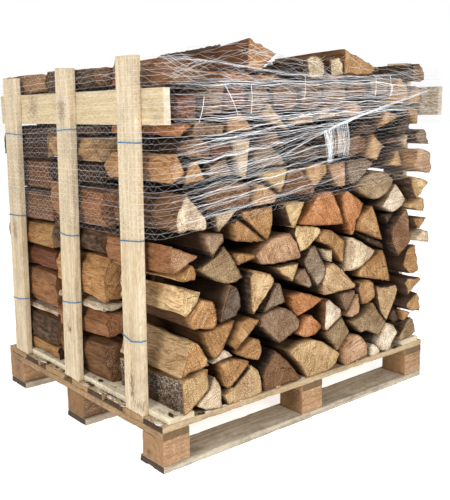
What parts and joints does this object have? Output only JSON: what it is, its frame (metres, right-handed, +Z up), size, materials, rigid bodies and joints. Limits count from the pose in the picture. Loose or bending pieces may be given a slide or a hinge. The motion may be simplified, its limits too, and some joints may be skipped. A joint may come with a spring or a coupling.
{
  "type": "pallet of firewood",
  "caption": "Block pallet with posts and rails on its short sides, holding stacked rows of split firewood under a net wrap.",
  "frame": {"origin": "on the floor under the pallet's centre", "axes": "+Z up; +X along the pallet's long side, to the right seen from the front; the front, where the log ends show, faces -Y"},
  "size_m": [1.2124, 1.091, 1.2223],
  "materials": {
    "pallet_wood": "rough sawn softwood, weathered",
    "frame_wood": "planed pale pine",
    "firewood": "split hardwood with sawn ends and bark",
    "twine": "blue plastic baler twine",
    "net": "white knitted pallet net"
  },
  "bodies": {
    "root": {"bottom_board_front": "pallet_wood", "bottom_board_middle": "pallet_wood", "bottom_board_back": "pallet_wood", "block_left_front": "pallet_wood", "block_left_middle": "pallet_wood", "block_left_back": "pallet_wood", "block_centre_front": "pallet_wood", "block_centre_middle": "pallet_wood", "block_centre_back": "pallet_wood", "block_right_front": "pallet_wood", "block_right_middle": "pallet_wood", "block_right_back": "pallet_wood", "stringer_left": "pallet_wood", "stringer_centre": "pallet_wood", "stringer_right": "pallet_wood", "deck_board_1": "pallet_wood", "deck_board_2": "pallet_wood", "deck_board_3": "pallet_wood", "deck_board_4": "pallet_wood", "deck_board_5": "pallet_wood", "deck_board_6": "pallet_wood", "deck_board_7": "pallet_wood", "deck_board_8": "pallet_wood", "bottom_rail_left": "frame_wood", "bottom_rail_right": "frame_wood", "top_rail_left": "frame_wood", "top_rail_right": "frame_wood", "post_left_front": "frame_wood", "post_left_middle": "frame_wood", "post_left_back": "frame_wood", "post_right_front": "frame_wood", "post_right_middle": "frame_wood", "post_right_back": "frame_wood", "firewood_front_row": "firewood", "firewood_middle_row": "firewood", "firewood_back_row": "firewood", "loose_log_1": "firewood", "loose_log_2": "firewood", "loose_log_3": "firewood", "loose_log_4": "firewood", "loose_log_5": "firewood", "twine_tie_left_front_low": "twine", "twine_tie_left_front_middle": "twine", "twine_tie_left_front_high": "twine", "twine_tie_left_middle_low": "twine", "twine_tie_left_middle_middle": "twine", "twine_tie_left_middle_high": "twine", "twine_tie_left_back_low": "twine", "twine_tie_left_back_middle": "twine", "twine_tie_left_back_high": "twine", "twine_tie_right_front_low": "twine", "twine_tie_right_front_middle": "twine", "twine_tie_right_front_high": "twine", "twine_tie_right_middle_low": "twine", "twine_tie_right_middle_middle": "twine", "twine_tie_right_middle_high": "twine", "twine_tie_right_back_low": "twine", "twine_tie_right_back_middle": "twine", "twine_tie_right_back_high": "twine", "net_wrap": "net"}
  },
  "joints": []
}
